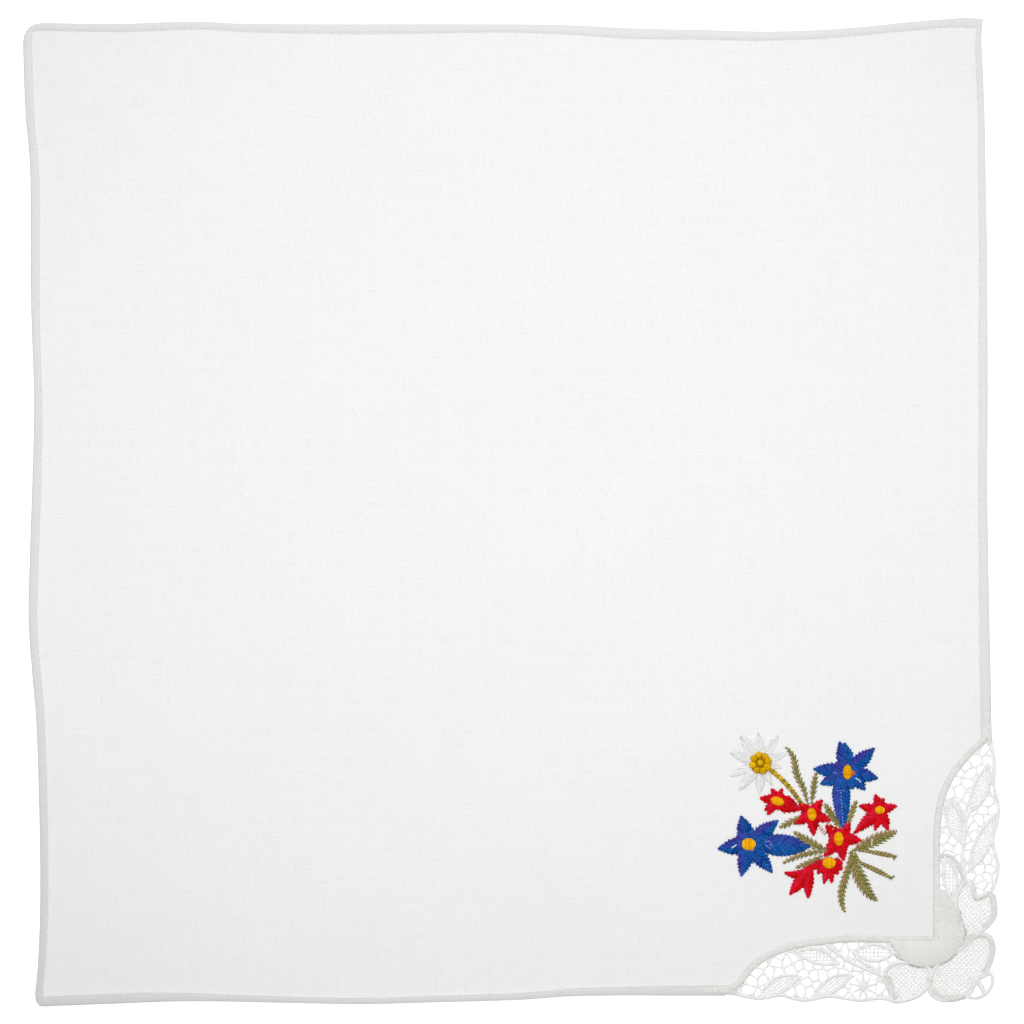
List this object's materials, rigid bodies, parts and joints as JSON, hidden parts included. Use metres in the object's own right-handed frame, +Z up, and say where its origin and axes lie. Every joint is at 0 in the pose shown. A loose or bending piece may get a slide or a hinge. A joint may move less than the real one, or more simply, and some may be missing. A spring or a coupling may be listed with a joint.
{
  "type": "embroidered handkerchief",
  "caption": "Square white batiste handkerchief laid flat, with a narrow hem, one guipure lace corner and a bouquet of alpine flowers embroidered beside it.",
  "frame": {"origin": "middle of the footprint on the underside, where the handkerchief meets the surface it lies on", "axes": "+Z up through the cloth; +X to the right and +Y away from the viewer, with the lace corner at +X, -Y"},
  "size_m": [0.2832, 0.2864, 0.0023],
  "materials": {
    "batiste": "fine plain-weave cotton batiste, soft and slightly sheer",
    "guipure": "white cotton guipure lace",
    "thread_red": "stranded embroidery thread, soft sheen",
    "thread_blue": "stranded embroidery thread, soft sheen",
    "thread_silver": "stranded embroidery thread, soft sheen",
    "thread_gold": "stranded embroidery thread, soft sheen",
    "thread_olive": "stranded embroidery thread, variegated, soft sheen",
    "thread_yellow": "stranded embroidery thread, padded satin stitch",
    "thread_mustard": "stranded embroidery thread, knotted"
  },
  "bodies": {
    "root": {"cloth": "batiste", "edelweiss_eye": "thread_mustard", "edelweiss_petals": "thread_silver", "edelweiss_stem": "thread_gold", "gentian_left_calyx": "thread_blue", "gentian_left_eye": "thread_yellow", "gentian_left_petals": "thread_blue", "gentian_upper_eye": "thread_yellow", "gentian_upper_petals": "thread_blue", "gentian_upper_tube": "thread_blue", "lace_corner": "guipure", "leaf_big_low": "thread_olive", "leaf_big_right": "thread_olive", "leaf_down": "thread_olive", "leaf_left_of_tube": "thread_olive", "leaf_low_left": "thread_olive", "leaf_over_calyx": "thread_olive", "leaf_right_of_tube": "thread_olive", "leaf_short": "thread_olive", "leaf_tall": "thread_olive", "leaf_thin_low": "thread_olive", "leaf_thin_right": "thread_olive", "leaf_under_calyx": "thread_olive", "leaf_under_left_rose": "thread_olive", "rose_bell": "thread_red", "rose_left_eye": "thread_yellow", "rose_left_petals": "thread_red", "rose_lower_eye": "thread_yellow", "rose_lower_petals": "thread_red", "rose_middle_eye": "thread_yellow", "rose_middle_petals": "thread_red", "rose_right_eye": "thread_yellow", "rose_right_petals": "thread_red", "rose_upper_eye": "thread_yellow", "rose_upper_petals": "thread_red"}
  },
  "joints": []
}
